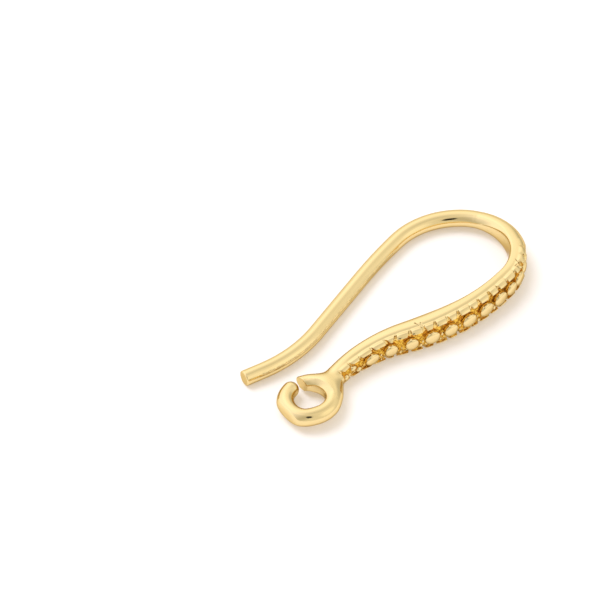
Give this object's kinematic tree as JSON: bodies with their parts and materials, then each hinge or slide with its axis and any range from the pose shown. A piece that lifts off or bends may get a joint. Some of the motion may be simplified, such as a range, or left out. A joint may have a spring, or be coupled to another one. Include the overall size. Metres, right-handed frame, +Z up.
{
  "type": "ear wire",
  "caption": "Cast ear wire lying on its side: an open ring, a beaded arm, a round bend and a bare flared pin.",
  "frame": {"origin": "bottom centre of the box round the hook as it lies on its side", "axes": "+X along the hook's longest extent, from the ring to the bend; +Y from the beaded arm to the bare pin; +Z up from the surface it lies on"},
  "size_m": [0.0188, 0.0094, 0.0019],
  "materials": {
    "gold_plating": "polished"
  },
  "bodies": {
    "root": {"ear_hook": "gold_plating"}
  },
  "joints": []
}
